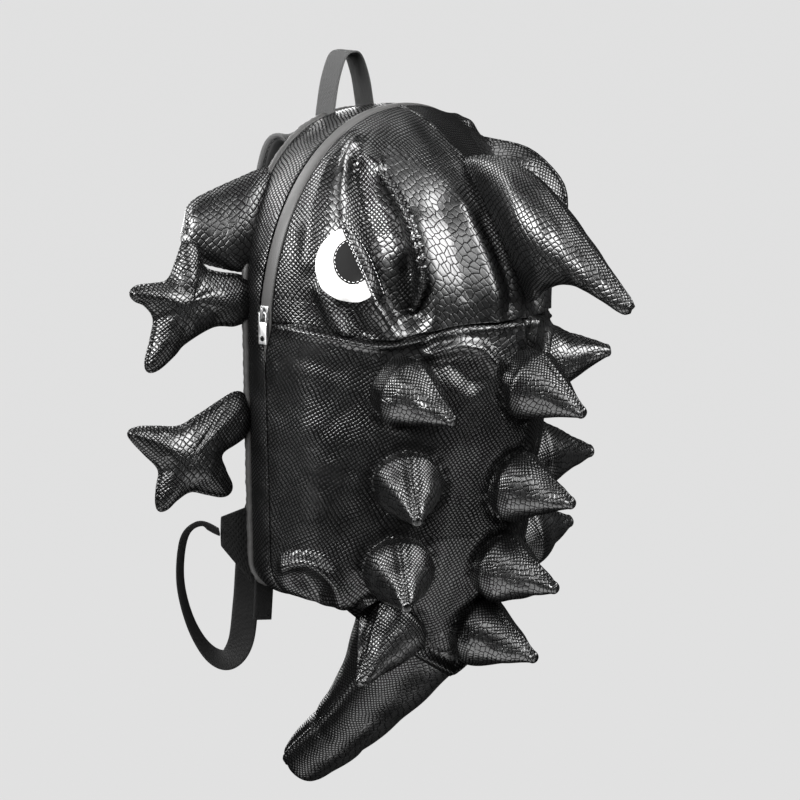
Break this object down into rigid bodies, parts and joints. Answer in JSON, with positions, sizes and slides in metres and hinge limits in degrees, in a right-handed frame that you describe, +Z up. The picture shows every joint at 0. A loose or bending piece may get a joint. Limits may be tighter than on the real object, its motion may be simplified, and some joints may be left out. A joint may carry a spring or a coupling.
{
  "type": "creature backpack",
  "caption": "Creature-shaped backpack in scaly faux leather: zip over a horned head with eyes and brows, stuffed ears, paws, spikes and tail, grab loop and slack webbing straps.",
  "frame": {"origin": "inside top of the grab loop, where the bag hangs", "axes": "+Z up, -Y the way the creature looks, +Z runs along the longest extent"},
  "size_m": [0.5362, 0.4006, 0.6875],
  "materials": {
    "leather": "semi-gloss black faux leather embossed with snakeskin scales",
    "binding": "smooth satin grey binding",
    "tape": "coated grey zip tape",
    "webbing": "black woven webbing",
    "loop": "grey-black woven webbing",
    "padding": "matt black padded cloth",
    "metal": "bright plated metal",
    "plastic": "black moulded plastic",
    "white": "smooth white faux leather",
    "black": "black faux leather with fine scales"
  },
  "bodies": {
    "bag": {"back_binding": "binding", "back_panel": "padding", "body_shell": "leather", "brow_left": "leather", "brow_right": "leather", "crest_horn": "leather", "ear_left": "leather", "ear_right": "leather", "eye_pupil_left": "black", "eye_pupil_right": "black", "eye_white_left": "white", "eye_white_right": "white", "eyelid_left": "leather", "eyelid_right": "leather", "grab_loop": "loop", "gusset": "leather", "head_shell": "leather", "ladder_lock_left": "plastic", "ladder_lock_right": "plastic", "paw_front_left": "leather", "paw_front_right": "leather", "paw_rear_left": "leather", "paw_rear_right": "leather", "shoulder_strap_left": "padding", "shoulder_strap_right": "padding", "spike_left_1": "leather", "spike_left_2": "leather", "spike_left_3": "leather", "spike_left_4": "leather", "spike_mid_1": "leather", "spike_mid_2": "leather", "spike_mid_3": "leather", "spike_mid_4": "leather", "spike_right_1": "leather", "spike_right_2": "leather", "spike_right_3": "leather", "spike_right_4": "leather", "strap_anchor_left": "leather", "strap_anchor_right": "leather", "tail": "leather", "webbing_end_left": "webbing", "webbing_end_right": "webbing", "webbing_left": "webbing", "webbing_right": "webbing", "zip_slider": "metal", "zipper_tape": "tape"},
    "zip_pull": {"zip_pull": "metal"}
  },
  "joints": [
    {"name": "zip_pull_swing", "type": "hinge", "parent": "bag", "child": "zip_pull", "pos_m": [-0.1645, -0.0302, -0.2216], "axis": [0, 1, 0], "range_deg": [0, 170]}
  ]
}
